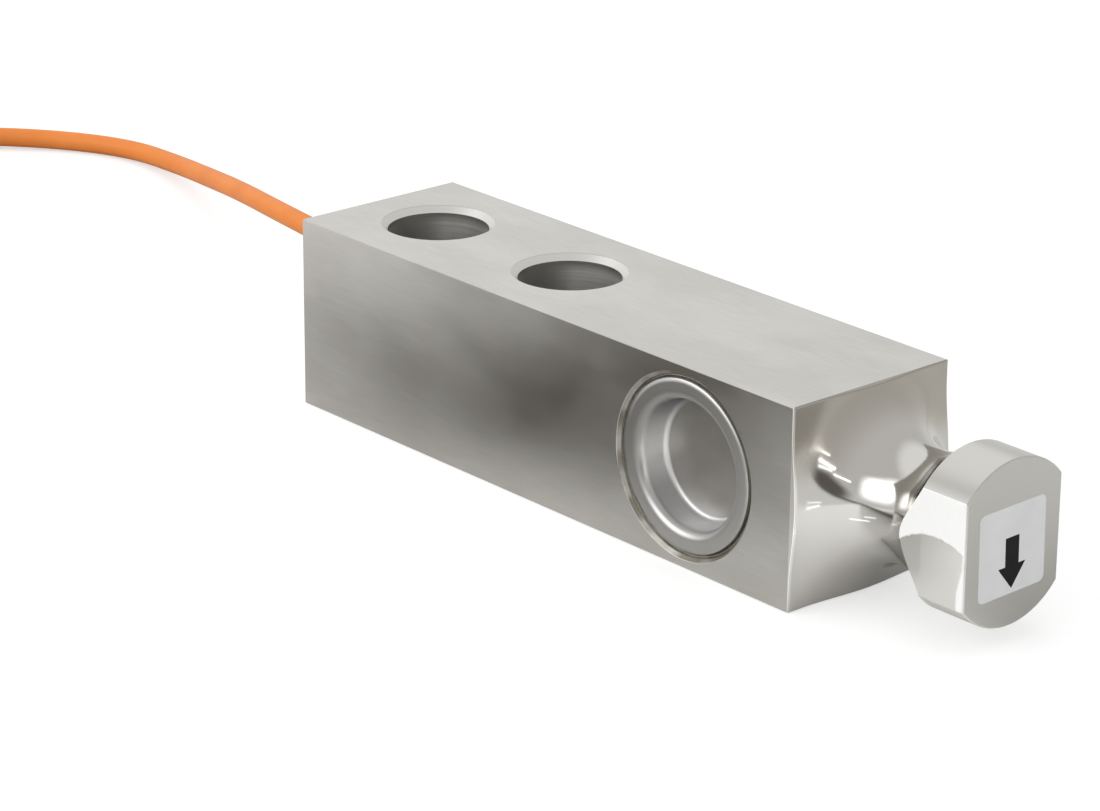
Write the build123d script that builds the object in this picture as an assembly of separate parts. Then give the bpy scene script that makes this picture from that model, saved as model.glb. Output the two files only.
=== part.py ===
from build123d import *
import math
import os

# Shear beam load cell. A square stainless bar is bolted down at one end and carries the load on a
# flatted head at the other. Two blind pockets leave a thin web with strain gauges on it, and a welded cup
# closes each pocket. Millimetres. The origin lies midway between the two bolt bores on the base face,
# +X runs to the load head and +Z is up. The far side is +Y.

# Bar, bolt bores and turned load end
bar_width = 50.0
bar_height = 50.0
bar_length = 179.3
bolt_bore_dia = 26.0
bolt_pitch = 50.8
rear_margin = 24.2
bore_chamfer = 1.6
long_edge_break = 0.2
front_edge_break = 0.4
groove_radius = 17.8
neck_dia = 28.0
head_dia = 40.2
head_across_flats = 30.8
head_overhang = 44.7
head_edge_break = 0.4

# Gauge pockets, web and wire passages
pocket_setback = 36.1
web_thickness = 8.0
pocket_clearance = 1.4
seat_depth = 2.3
mouth_bevel = 0.9
web_hole_dia = 4.0
web_hole_offset = 13.5
wire_notch_dia = 5.0
wire_notch_rise = 2.0
channel_dia = 4.0
channel_wall = 1.8
gland_hole_dia = 10.0
gland_hole_depth = 10.0

# Cups and their weld seams
flange_rest = 2.9
flange_thickness = 1.6
flange_edge_radius = 0.35
cup_wall = 1.1
cup_depth = 8.2
cup_mouth_dia = 32.2
cup_taper = 0.9
cup_lip_radius = 2.6
cup_corner_radius = 1.4
seam_width = 0.7
seam_height = 0.8
seam_crown = 0.15

# Strain gauges, terminals and bridge board
film_length = 12.0
film_height = 9.0
film_thickness = 0.15
grid_lines = 6
grid_line_length = 4.0
grid_line_width = 0.35
grid_pitch = 0.7
grid_spacing = 5.6
foil_thickness = 0.1
tab_size = 1.1
terminal_length = 13.0
terminal_height = 3.0
terminal_thickness = 0.8
terminal_rise = 8.0
board_length = 20.0
board_height = 8.0
board_thickness = 1.0
board_drop = 11.0
board_pad_thickness = 0.8
board_pad_margin = 1.0
solder_pad = 1.3
solder_thickness = 0.2
resistor_length = 2.0
resistor_width = 1.2
resistor_height = 0.6
resistor_pitch = 3.2
cable_pad_pitch = 3.3
gauge_pad_pitch = 2.64

# Conductors
core_dia = 1.0
core_offset = 0.65
core_setback = 1.0
core_fall = 0.9
core_bend = 0.8
drain_dia = 0.6
gauge_wire_dia = 0.4
gauge_wire_bend = 0.6
gauge_wire_rise = 1.2
gauge_wire_pitch = 0.7
gauge_wire_layer = 0.8

# Cable gland
thread_gap = 0.05
washer_dia = 12.8
washer_thickness = 0.8
gland_across_flats = 12.0
gland_hex_length = 3.5
gland_stub_length = 8.0
collar_dia = 9.2
collar_length = 4.0
gland_bore_dia = 6.1
seal_dia = 7.9
seal_seat_depth = 4.5
seal_length = 5.0
nut_gap = 0.5
nut_hex_length = 4.5
nut_dome_length = 3.4
nut_mouth_dia = 6.2
nut_end_dia = 8.6

# Cable, coil and stripped end
cable_dia = 5.8
cable_start_depth = 7.0
coil_mean_radius = 34.5
coil_turns_wide = 4
coil_layers = 3
coil_lead_in = 24.0
coil_slack = 0.2
coil_corner = 2.6
tie_thickness = 1.0
tie_width = 4.0
tie_lock_depth = 4.0
tie_lock_width = 5.0
tie_lock_height = 5.0
tie_angles = (40.0, 262.0)
sleeve_wall = 0.4
sleeve_length = 8.0
lead_dia = 1.2
lead_spacing = 1.3
lead_straight = 3.0
lead_crown = 0.7
lead_crown_fall = 0.5
lead_lift = 0.8
lead_lift_fall = 0.2
lead_tip_dia = 0.6
lead_tip_length = 6.0

# Load label
label_width = 21.3
label_height = 21.2
label_corner = 1.6
label_thickness = 0.15
label_tilt = 1.4
label_side_shift = -0.3
label_drop = 1.4

# Places worked out from the sizes above
axis_z = bar_height / 2
rear_x = -bolt_pitch / 2 - rear_margin
front_x = rear_x + bar_length
head_x = front_x + head_overhang
groove_x = front_x + groove_radius
groove_r = neck_dia / 2 + groove_radius
cup_x = front_x - pocket_setback
side_y = bar_width / 2
web_y = web_thickness / 2
seat_y = side_y - seat_depth
flange_y = seat_y + flange_thickness
cup_floor_y = flange_y - cup_depth
cup_back_y = cup_floor_y - cup_wall
cup_floor_dia = cup_mouth_dia - 2 * cup_taper
pocket_dia = cup_mouth_dia + 2 * (cup_wall + pocket_clearance)
flange_dia = pocket_dia + 2 * flange_rest
seat_dia = flange_dia + 2 * seam_width
channel_y = bolt_bore_dia / 2 + channel_wall + channel_dia / 2
cable_radius = cable_dia / 2

# Route of the cable from the end of its jacket inside the gland to the coil: points chosen by hand
cable_route = (
    (rear_x + cable_start_depth, channel_y, axis_z),
    (-84.0, channel_y, axis_z),
    (-122.6, 23.6, 22.5),
    (-160.6, 38.3, 16.5),
    (-196.6, 53.6, 9.5),
    (-228.6, 65.2, 4.4),
    (-256.6, 67.0, 2.9),
    (-281.6, 52.8, 3.1),
    (-303.6, 26.5, 4.1),
    (-319.2, 5.7, 4.1),
)


def save(shape, node):
    """Write one node's STEP file."""
    export_step(shape, f"parts/{node}.step")


def along_x(x, y, z, length, dia):
    """Round bar that starts at a point and runs along +X."""
    return Pos(x + length / 2, y, z) * Rot(0, 90, 0) * Cylinder(dia / 2, length)


def turned(points, about):
    """Solid of revolution about the local Z axis from an outline of (radius, height) points."""
    outline = make_face(Plane.XZ * Polyline(*points, close=True))
    return about * revolve(outline, Axis.Z)


def rounded(outline, radius, height, fillet_radius):
    """Round the outline's corner nearest to a (radius, height) point."""
    corner = Vertex(radius, 0, height)
    nearest = sorted(outline.vertices(), key=lambda v: v.distance_to(corner))[0]
    return fillet(nearest, fillet_radius)


def bent(points, dia, bend):
    """Round wire along straight runs joined by tangent arcs."""
    path = FilletPolyline(*points, radius=bend)
    start = Plane(origin=points[0], z_dir=Vector(*points[1]) - Vector(*points[0]))
    return sweep(start * Circle(dia / 2), path=path)


def near_of(far_piece):
    """The near side's piece is the far side's, mirrored in the bar's middle plane."""
    return mirror(far_piece, about=Plane.XZ)


far_axis = Pos(cup_x, 0, axis_z) * Rot(-90, 0, 0)
near_axis = Pos(cup_x, 0, axis_z) * Rot(90, 0, 0)
load_axis = Pos(0, 0, axis_z) * Rot(0, 90, 0)
gland_axis = Pos(rear_x, channel_y, axis_z) * Rot(0, -90, 0)


# Load beam: one forged and machined bar. The square blank is turned at its load end, so the groove's flare meets
# the square in curved edges, and the head behind it is milled flat on both sides.
def turned_load_end():
    """Everything that the lathe leaves: the square's full swing, the groove and the round head."""
    swing = math.hypot(bar_width, bar_height)
    rim_rise = groove_r - head_dia / 2
    rim_x = groove_x + math.sqrt(groove_radius**2 - rim_rise**2)
    start = (groove_r, front_x)
    bottom = (groove_r - groove_radius, groove_x)
    rim = (head_dia / 2, rim_x)
    head_corner = (head_dia / 2, head_x)
    groove = ThreePointArc(start, bottom, rim)
    outside = Polyline(
        rim, head_corner, (0, head_x), (0, rear_x), (swing, rear_x), (swing, front_x), start
    )
    return load_axis * revolve(make_face(Plane.XZ * (groove + outside)), Axis.Z)


def front_rim_edges(beam):
    """The curved edges where the square's sides and the turned front meet."""
    slack = 0.01
    edges = []
    for edge in beam.edges():
        points = [edge.position_at(share) for share in (0, 0.5, 1)]
        outward = [max(abs(p.Y) - side_y, abs(p.Z - axis_z) - axis_z) for p in points]
        on_side = min(outward) > -slack
        ahead = all(front_x - slack < p.X < groove_x for p in points)
        if on_side and ahead:
            edges.append(edge)
    return edges


def corner_edges(beam):
    """The square bar's four long edges, the longest of those that run along it."""
    return beam.edges().filter_by(Axis.X).sort_by(SortBy.LENGTH)[-4:]


def bolt_bore(x):
    """Through bore for a bolt, chamfered at the top and the base."""
    mouth = bolt_bore_dia / 2 + bore_chamfer
    wall = bolt_bore_dia / 2
    outline = (
        (0, 0),
        (mouth, 0),
        (wall, bore_chamfer),
        (wall, bar_height - bore_chamfer),
        (mouth, bar_height),
        (0, bar_height),
    )
    return turned(outline, Pos(x, 0, 0))


def gauge_pocket(about):
    """Blind pocket with a bevelled mouth and a stepped seat for the cup's flange."""
    seat = seat_dia / 2
    well = pocket_dia / 2
    outline = (
        (0, web_y),
        (well, web_y),
        (well, seat_y),
        (seat, seat_y),
        (seat, side_y - mouth_bevel),
        (seat + mouth_bevel, side_y),
        (0, side_y),
    )
    return turned(outline, about)


def make_load_beam():
    blank_length = head_x - rear_x
    blank = Pos((rear_x + head_x) / 2, 0, axis_z) * Box(blank_length, bar_width, bar_height)
    beam = blank & turned_load_end()
    beam = chamfer(front_rim_edges(beam), front_edge_break)
    beam = chamfer(corner_edges(beam), long_edge_break)
    flat_cut = Box(head_x - groove_x, bar_width, bar_height)
    for side in (-1, 1):
        flat_y = side * (head_across_flats + bar_width) / 2
        beam -= Pos((groove_x + head_x) / 2, flat_y, axis_z) * flat_cut
    beam = chamfer(beam.faces().sort_by(Axis.X)[-1].edges(), head_edge_break)
    for side in (-1, 1):
        beam -= bolt_bore(side * bolt_pitch / 2)
    beam -= gauge_pocket(far_axis)
    beam -= gauge_pocket(near_axis)
    notch_x = cup_x - pocket_dia / 2
    notch_floor = web_y + wire_notch_rise
    notch = Rot(90, 0, 0) * Cylinder(wire_notch_dia / 2, seat_y - notch_floor)
    beam -= Pos(notch_x, (notch_floor + seat_y) / 2, axis_z) * notch
    web_hole = Rot(90, 0, 0) * Cylinder(web_hole_dia / 2, web_thickness)
    beam -= Pos(cup_x - web_hole_offset, 0, axis_z) * web_hole
    beam -= along_x(rear_x, channel_y, axis_z, notch_x - rear_x, channel_dia)
    beam -= along_x(rear_x, channel_y, axis_z, gland_hole_depth, gland_hole_dia)
    return beam


# Cups: drawn and turned stainless caps, seated on the pocket's step and welded round the flange.
def make_cup():
    mouth = cup_mouth_dia / 2
    floor = cup_floor_dia / 2
    outline = make_face(
        Plane.XZ
        * Polyline(
            (0, cup_back_y),
            (floor + cup_wall, cup_back_y),
            (mouth + cup_wall, seat_y),
            (flange_dia / 2, seat_y),
            (flange_dia / 2, flange_y),
            (mouth, flange_y),
            (floor, cup_floor_y),
            (0, cup_floor_y),
            close=True,
        )
    )
    outline = rounded(outline, floor + cup_wall, cup_back_y, cup_corner_radius + cup_wall)
    outline = rounded(outline, floor, cup_floor_y, cup_corner_radius)
    outline = rounded(outline, mouth, flange_y, cup_lip_radius)
    outline = rounded(outline, flange_dia / 2, flange_y, flange_edge_radius)
    return far_axis * revolve(outline, Axis.Z)


def make_seam():
    """Weld bead between the flange's rim and the seat's wall, slightly crowned."""
    rim = flange_dia / 2
    wall = seat_dia / 2
    top = seat_y + seam_height
    sides = Polyline((rim, top), (rim, seat_y), (wall, seat_y), (wall, top))
    crown = ThreePointArc((wall, top), ((rim + wall) / 2, top + seam_crown), (rim, top))
    return far_axis * revolve(make_face(Plane.XZ * (sides + crown)), Axis.Z)


# Strain gauges: a shear rosette on each face of the web, two foil grids at 45 degrees on one film.
def make_gauge():
    gauge = Pos(cup_x, web_y + film_thickness / 2, axis_z) * Box(film_length, film_thickness, film_height)
    foil_y = web_y + film_thickness + foil_thickness / 2
    for side in (-1, 1):
        centre = Pos(cup_x + side * grid_spacing / 2, foil_y, axis_z) * Rot(0, 45 * side, 0)
        for line in range(grid_lines):
            shift = (line - (grid_lines - 1) / 2) * grid_pitch
            gauge += centre * Pos(0, 0, shift) * Box(grid_line_length, foil_thickness, grid_line_width)
    for tab_x in gauge_tab_xs():
        tab_z = axis_z - film_height / 2 + tab_size / 2
        gauge += Pos(tab_x, foil_y, tab_z) * Box(tab_size, foil_thickness, tab_size)
    return gauge


def gauge_tab_xs():
    """The gauge has three solder tabs: one for each grid and one shared."""
    return [cup_x + step * (film_length - 2 * tab_size) / 2 for step in (-1, 0, 1)]


# Terminal strip on the near web face, with a solder pad for each lead that crosses the web.
def terminal_pad_xs():
    pitch = terminal_length / 3
    return [cup_x + step * pitch for step in (-1, 0, 1)]


def make_far_terminals():
    strip_y = web_y + terminal_thickness / 2
    strip_z = axis_z + terminal_rise
    pad_y = web_y + terminal_thickness + solder_thickness / 2
    strip = Pos(cup_x, strip_y, strip_z) * Box(terminal_length, terminal_thickness, terminal_height)
    for pad_x in terminal_pad_xs():
        strip += Pos(pad_x, pad_y, strip_z) * Box(solder_pad, solder_thickness, solder_pad)
    return strip


# Bridge board: a small circuit board that joins both gauges into one bridge, glued to the far web face.
board_z = axis_z - board_drop
board_y = web_y + board_pad_thickness
board_top_y = board_y + board_thickness
solder_y = board_top_y + solder_thickness


def cable_pad_xs():
    """Pads along the board's lower edge: four cores and the drain wire."""
    return [cup_x + (step - 2) * cable_pad_pitch for step in range(5)]


def lower_pad_z():
    return board_z - board_height / 2 + solder_pad


def upper_pad_z():
    return board_z + board_height / 2 - solder_pad


def upper_pad_xs():
    """Pads along the board's upper edge: three for the far gauge and three for the near gauge."""
    return [cup_x + (step - 2.5) * gauge_pad_pitch for step in range(6)]


def make_board():
    plate = Box(board_length, board_thickness, board_height)
    board = Pos(cup_x, board_y + board_thickness / 2, board_z) * plate
    pad = Box(solder_pad, solder_thickness, solder_pad)
    pad_y = board_top_y + solder_thickness / 2
    for pad_x in cable_pad_xs():
        board += Pos(pad_x, pad_y, lower_pad_z()) * pad
    for pad_x in upper_pad_xs():
        board += Pos(pad_x, pad_y, upper_pad_z()) * pad
    return board


def make_board_pad():
    pad_length = board_length - 2 * board_pad_margin
    pad_height = board_height - 2 * board_pad_margin
    pad = Box(pad_length, board_pad_thickness, pad_height)
    return Pos(cup_x, web_y + board_pad_thickness / 2, board_z) * pad


def make_trim_resistors():
    """Three chip resistors that trim the bridge, in a row between the rows of pads."""
    chip = Box(resistor_length, resistor_height, resistor_width)
    chip_y = board_top_y + resistor_height / 2
    chips = [Pos(cup_x + step * resistor_pitch, chip_y, board_z) * chip for step in (-1, 0, 1)]
    return Compound(children=chips)


# Conductors: the cable's four cores and its drain run through the gland and the drilled channel to the board.
core_start_x = rear_x + cable_start_depth
core_names = ("core_red", "core_green", "core_drain", "core_black", "core_white")
core_sides = ((-1, -1), (1, -1), (0, 0), (-1, 1), (1, 1))
core_layer = (cup_back_y - solder_y) / (len(core_names) + 2)


def make_core(index):
    """One conductor. Each passes over the one before it, in the space between the board and the cup."""
    side_y_step, side_z_step = core_sides[index]
    dia = drain_dia if core_names[index] == "core_drain" else core_dia
    y = channel_y + side_y_step * core_offset
    z = axis_z - side_z_step * core_offset
    drop_x = cup_x - pocket_dia / 2 - core_setback + side_y_step * core_offset
    pad_x = cable_pad_xs()[index]
    low_y = solder_y + core_layer * (index + 1)
    points = [
        (core_start_x, y, z),
        (drop_x, y, z),
        (drop_x, low_y + core_fall, z),
        (pad_x, low_y, lower_pad_z()),
        (pad_x, solder_y, lower_pad_z()),
    ]
    return bent(points, dia, core_bend)


def make_far_gauge_wires():
    """Fine leads from the far gauge's tabs to the board."""
    wires = []
    tab_z = axis_z - film_height / 2 + tab_size / 2
    tab_y = web_y + film_thickness + foil_thickness
    crest_y = solder_y + gauge_wire_rise
    for tab_x, pad_x in zip(gauge_tab_xs(), upper_pad_xs()[1::2]):
        points = [(tab_x, tab_y, tab_z), (tab_x, crest_y, tab_z), (pad_x, crest_y, upper_pad_z())]
        points.append((pad_x, solder_y, upper_pad_z()))
        wires.append(bent(points, gauge_wire_dia, gauge_wire_bend))
    return Compound(children=wires)


def make_near_gauge_wires():
    """Fine leads from the near terminals through the web's hole to the board."""
    wires = []
    pad_y = -(web_y + terminal_thickness + solder_thickness)
    start_z = axis_z + terminal_rise + solder_pad / 4
    hole_x = cup_x - web_hole_offset
    for row, (start_x, pad_x) in enumerate(zip(terminal_pad_xs(), upper_pad_xs()[0::2])):
        x = hole_x + (row - 1) * gauge_wire_pitch
        z = axis_z + (1 - row) * gauge_wire_pitch
        near_y = pad_y - gauge_wire_rise - gauge_wire_layer * row
        far_y = solder_y + 2 * gauge_wire_rise + gauge_wire_layer * row
        points = [
            (start_x, pad_y, start_z),
            (start_x, near_y, start_z),
            (x, near_y, z),
            (x, far_y, z),
            (pad_x, far_y, upper_pad_z()),
            (pad_x, solder_y, upper_pad_z()),
        ]
        wires.append(bent(points, gauge_wire_dia, gauge_wire_bend))
    return Compound(children=wires)


def make_near_jumpers():
    """Short leads from the near gauge's tabs up to the near terminals."""
    wires = []
    tab_z = axis_z - film_height / 2 + tab_size / 2
    tab_y = web_y + film_thickness + foil_thickness
    pad_y = web_y + terminal_thickness + solder_thickness
    crest_y = pad_y + gauge_wire_layer
    end_z = axis_z + terminal_rise - solder_pad / 4
    for tab_x, pad_x in zip(gauge_tab_xs(), terminal_pad_xs()):
        points = [(tab_x, tab_y, tab_z), (tab_x, crest_y, tab_z), (pad_x, crest_y, end_z)]
        points.append((pad_x, pad_y, end_z))
        wires.append(bent(points, gauge_wire_dia, gauge_wire_bend))
    return Compound(children=wires)


# Cable gland: screwed into the rear face beside the bolt bores. Local heights run out of the rear face.
hex_top = washer_thickness + gland_hex_length
collar_top = hex_top + collar_length
seal_bottom = collar_top - seal_seat_depth
seal_top = seal_bottom + seal_length
nut_bottom = hex_top + nut_gap
nut_shoulder = nut_bottom + nut_hex_length
nut_end = nut_shoulder + nut_dome_length


def hexagon(across_flats, length, bottom):
    outline = RegularPolygon(across_flats / 2, 6, major_radius=False)
    return Pos(0, 0, bottom) * extrude(outline, length)


def rod(dia, bottom, top):
    return Pos(0, 0, (bottom + top) / 2) * Cylinder(dia / 2, top - bottom)


def make_gland_washer():
    return gland_axis * (rod(washer_dia, 0, washer_thickness) - rod(gland_hole_dia, 0, washer_thickness))


def make_gland_body():
    body = rod(gland_hole_dia - 2 * thread_gap, -gland_stub_length, washer_thickness)
    body += hexagon(gland_across_flats, gland_hex_length, washer_thickness)
    body += rod(collar_dia, hex_top, collar_top)
    body -= rod(gland_bore_dia, -gland_stub_length, collar_top)
    body -= rod(seal_dia, seal_bottom, collar_top)
    return gland_axis * body


def make_gland_seal():
    return gland_axis * (rod(seal_dia, seal_bottom, seal_top) - rod(cable_dia, seal_bottom, seal_top))


def make_gland_nut():
    shoulder = gland_across_flats / 2
    end = nut_end_dia / 2
    nut = hexagon(gland_across_flats, nut_hex_length, nut_bottom)
    nut += turned(((0, nut_shoulder), (shoulder, nut_shoulder), (end, nut_end), (0, nut_end)), Pos(0, 0, 0))
    nut -= rod(collar_dia + 2 * thread_gap, nut_bottom, seal_top)
    nut -= rod(nut_mouth_dia, seal_top, nut_end)
    return gland_axis * nut


# Cable: an orange jacket, from its cut end inside the gland to the coil.
def corner_radii(points, share=0.45):
    """The largest arc that each corner's two runs allow."""
    radii = []
    for before, corner, after in zip(points, points[1:], points[2:]):
        run_in = Vector(*corner) - Vector(*before)
        run_out = Vector(*after) - Vector(*corner)
        turn = math.radians(run_in.get_angle(run_out))
        radii.append(share * min(run_in.length, run_out.length) / math.tan(turn / 2))
    return radii


def make_cable():
    radii = corner_radii(cable_route)
    path = FilletPolyline(*cable_route, radius=radii)
    start = Plane(origin=cable_route[0], z_dir=Vector(*cable_route[1]) - Vector(*cable_route[0]))
    cable = sweep(start * Circle(cable_radius), path=path)
    section = math.pi * cable_radius**2
    print("cable radii", [round(r, 1) for r in radii], "length", round(path.length, 1))
    print("cable volume against section times length", round(cable.volume / (section * path.length), 4))
    return cable


# Coil: the put-away length, wound in even layers on two ties. The lead-in meets the cable.
coil_half_width = coil_turns_wide * cable_radius + coil_slack
coil_bottom = tie_thickness
coil_top = coil_bottom + coil_layers * cable_dia + 2 * coil_slack
lead_in_end = Vector(*cable_route[-1])
lead_in_dir = Vector(lead_in_end.X - cable_route[-2][0], lead_in_end.Y - cable_route[-2][1], 0).normalized()
outer_turn = coil_mean_radius + coil_half_width - coil_slack - cable_radius
coil_touch = lead_in_end + lead_in_dir * coil_lead_in
coil_centre = coil_touch + Vector(-lead_in_dir.Y, lead_in_dir.X, 0) * outer_turn
touch_angle = math.degrees(math.atan2(coil_touch.Y - coil_centre.Y, coil_touch.X - coil_centre.X))


def at_coil(angle):
    """Place on the coil's axis, turned on from where the cable joins it in the way that the cable winds."""
    return Pos(coil_centre.X, coil_centre.Y, 0) * Rot(0, 0, touch_angle + angle)


def coil_point(angle, out, z):
    """Point by its angle on from where the cable joins the coil and its distance out from the mean turn."""
    turn = math.radians(touch_angle + angle)
    radius = coil_mean_radius + out
    return (coil_centre.X + radius * math.cos(turn), coil_centre.Y + radius * math.sin(turn), z)


def coil_section(offset):
    """Outline of the bundle of turns, grown by an offset, with its corners as round as the cable."""
    width = 2 * (coil_half_width + offset)
    height = coil_top - coil_bottom + 2 * offset
    middle = Pos(coil_mean_radius, (coil_top + coil_bottom) / 2, 0)
    return Plane.XZ * (middle * RectangleRounded(width, height, coil_corner + offset))


def make_coil():
    lead_in = Plane(origin=lead_in_end, z_dir=lead_in_dir) * Circle(cable_radius)
    return at_coil(0) * revolve(coil_section(0), Axis.Z) + extrude(lead_in, coil_lead_in)


def make_tie(angle):
    """Cable tie drawn round the turns, with its lock on the outside."""
    span = math.degrees(tie_width / coil_mean_radius)
    band = revolve(coil_section(tie_thickness) - coil_section(0), Axis.Z, span)
    lock_x = coil_mean_radius + coil_half_width + tie_thickness / 2 + tie_lock_depth / 2
    lock = Pos(lock_x, 0, (coil_top + coil_bottom) / 2) * Box(tie_lock_depth, tie_lock_width, tie_lock_height)
    return at_coil(angle) * (band + Rot(0, 0, span / 2) * lock)


# Tail: the cable's last end lies on the turns, and its jacket is cut back under a shrink sleeve.
tail_z = coil_top + cable_radius
sleeve_z = tail_z + sleeve_wall
tail_route = (
    coil_point(96.0, -0.5, tail_z),
    coil_point(116.0, 1.1, tail_z),
    coil_point(137.0, 1.7, tail_z + sleeve_wall / 2),
    coil_point(160.0, 0.5, sleeve_z),
    coil_point(181.0, -1.1, sleeve_z),
)


def make_tail():
    radii = corner_radii(tail_route)
    print("tail radii", [round(r, 1) for r in radii])
    return bent(tail_route, cable_dia, radii)


tail_end = Vector(*tail_route[-1])
tail_dir = (tail_end - Vector(*tail_route[-2])).normalized()
tail_side = Vector(-tail_dir.Y, tail_dir.X, 0).normalized()


def make_sleeve():
    """Shrink sleeve over the jacket's cut end."""
    start = Plane(origin=tail_end - tail_dir * sleeve_length, z_dir=tail_dir)
    return extrude(start * (Circle(cable_radius + sleeve_wall) - Circle(cable_radius)), sleeve_length)


# Flying leads: the stripped cores fan out from the jacket's end and lie on the coil, each with a tinned tip.
lead_names = ("lead_red", "lead_green", "lead_drain", "lead_black", "lead_white")


def make_lead(index):
    """One lead. The middle ones start highest and step further down to the coil."""
    step = index - 2
    dia = drain_dia if lead_names[index] == "lead_drain" else lead_dia
    rest_z = coil_top + dia / 2
    crown = lead_crown - lead_crown_fall * abs(step)
    lift = lead_lift - lead_lift_fall * abs(step)
    start = tail_end - tail_side * (step * lead_spacing) + Vector(0, 0, crown)
    ahead = start + tail_dir * lead_straight
    route = [
        (start.X, start.Y, start.Z),
        (ahead.X, ahead.Y, ahead.Z + lift / 4),
        coil_point(201.0, 0.1 + 2.1 * step, rest_z + lift),
        coil_point(219.0 + step, -0.3 + 3.0 * step, rest_z),
        coil_point(233.0 + 2.5 * step, 0.7 + 3.5 * step, rest_z),
    ]
    lead = bent(route, dia, corner_radii(route))
    end = Vector(*route[-1])
    end_dir = (end - Vector(*route[-2])).normalized()
    return lead + extrude(Plane(origin=end, z_dir=end_dir) * Circle(lead_tip_dia / 2), lead_tip_length)


# Load label: a thin sticker on the head's end face, stuck on a little off square.
def make_label():
    outline = RectangleRounded(label_width, label_height, label_corner)
    place = Pos(head_x, label_side_shift, axis_z - label_drop) * Rot(label_tilt, 0, 0)
    return place * Rot(0, 90, 0) * Rot(0, 0, 90) * extrude(outline, label_thickness)


os.makedirs("parts", exist_ok=True)
save(make_load_beam(), "load_beam")
far_cup = make_cup()
save(far_cup, "far_cup")
save(near_of(far_cup), "near_cup")
far_seam = make_seam()
save(far_seam, "far_weld_seam")
save(near_of(far_seam), "near_weld_seam")
far_gauge = make_gauge()
save(far_gauge, "far_shear_gauge")
save(near_of(far_gauge), "near_shear_gauge")
save(near_of(make_far_terminals()), "near_terminals")
save(make_board(), "bridge_board")
save(make_board_pad(), "board_pad")
save(make_trim_resistors(), "trim_resistors")
save(make_far_gauge_wires(), "far_gauge_wires")
save(make_near_gauge_wires(), "near_gauge_wires")
save(near_of(make_near_jumpers()), "near_jumper_wires")
for core_index, core_name in enumerate(core_names):
    save(make_core(core_index), core_name)
save(make_gland_washer(), "gland_washer")
save(make_gland_body(), "gland_body")
save(make_gland_seal(), "gland_seal")
save(make_gland_nut(), "gland_nut")
save(make_cable(), "cable")
save(make_coil(), "cable_coil")
save(make_tail(), "cable_tail")
for tie_number, tie_angle in enumerate(tie_angles, start=1):
    save(make_tie(tie_angle), f"coil_tie_{tie_number}")
save(make_sleeve(), "end_sleeve")
for lead_index, lead_name in enumerate(lead_names):
    save(make_lead(lead_index), lead_name)
save(make_label(), "load_label")
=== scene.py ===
import math

import bpy
from mathutils import Matrix, Vector


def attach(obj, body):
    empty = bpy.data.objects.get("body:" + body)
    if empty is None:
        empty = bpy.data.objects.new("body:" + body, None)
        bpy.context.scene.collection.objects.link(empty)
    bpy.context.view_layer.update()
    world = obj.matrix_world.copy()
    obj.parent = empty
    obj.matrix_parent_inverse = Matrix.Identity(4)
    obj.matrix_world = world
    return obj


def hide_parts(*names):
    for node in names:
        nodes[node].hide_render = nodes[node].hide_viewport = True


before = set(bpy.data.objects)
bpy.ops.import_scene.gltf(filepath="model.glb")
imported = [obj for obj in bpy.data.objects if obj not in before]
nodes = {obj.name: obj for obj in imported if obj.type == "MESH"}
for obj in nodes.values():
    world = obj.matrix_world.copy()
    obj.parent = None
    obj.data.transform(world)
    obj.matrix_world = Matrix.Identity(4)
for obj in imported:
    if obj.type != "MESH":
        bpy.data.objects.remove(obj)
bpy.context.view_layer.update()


# Viewpoint. The camera stands low in front of the load head, on the near side, with a long lens, so that
# the bar runs away to the upper left and its cable leaves the picture on the left.
viewpoint = Vector((0.717878, -0.613457, 0.361889))
view_azimuth = math.radians(48.754)
view_elevation = math.radians(20.572)
view_roll = math.radians(0.429)
lens_mm = 129.77
sensor_mm = 36.0
nearest_seen = 0.05
farthest_seen = 20.0

camera_data = bpy.data.cameras.new("viewpoint")
camera_data.sensor_fit = "HORIZONTAL"
camera_data.sensor_width = sensor_mm
camera_data.lens = lens_mm
camera_data.clip_start = nearest_seen
camera_data.clip_end = farthest_seen
camera = bpy.data.objects.new("viewpoint", camera_data)
bpy.context.scene.collection.objects.link(camera)
camera.matrix_world = (
    Matrix.Translation(viewpoint)
    @ Matrix.Rotation(view_azimuth, 4, "Z")
    @ Matrix.Rotation(math.pi / 2 - view_elevation, 4, "X")
    @ Matrix.Rotation(view_roll, 4, "Z")
)
bpy.context.scene.camera = camera


# Cable. An extruded orange polyurethane jacket, 5.8 mm across, that leaves the gland level, sinks to the
# floor in one long bend and ends in a wound coil of eleven turns. Its last end lies on top of the coil.
jacket_radius = 0.0029
cable_route = [
    (-0.0426, 0.0168, 0.0250),
    (-0.0840, 0.0168, 0.0250),
    (-0.1226, 0.0236, 0.0238),
    (-0.1606, 0.0383, 0.0178),
    (-0.1966, 0.0536, 0.0102),
    (-0.2286, 0.0652, 0.0044),
    (-0.2566, 0.0670, 0.0029),
    (-0.2816, 0.0528, 0.0031),
    (-0.3036, 0.0265, 0.0041),
    (-0.3192, 0.0057, 0.0041),
]
lead_in_length = 0.024
coil_mean_radius = 0.0345
coil_turns_wide = 4
coil_layers = 3
first_layer_height = 0.0041
first_shift = 300.0
shift_angle = 60.0
tail_height = 0.0217
sleeve_wall = 0.0004
tail_places = (
    (80.0, -0.0052, 0.0),
    (96.0, -0.0005, 0.0),
    (116.0, 0.0011, 0.0),
    (137.0, 0.0017, sleeve_wall / 2),
    (160.0, 0.0005, sleeve_wall),
    (181.0, -0.0011, sleeve_wall),
)
steps_per_turn = 24
curve_resolution = 6
jacket_shades = ((0.76, 0.225, 0.040), (0.83, 0.262, 0.052))
jacket_shade_cells = 60
jacket_roughness = (0.40, 0.58)
jacket_roughness_cells = 400
jacket_relief = 0.00004
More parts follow.
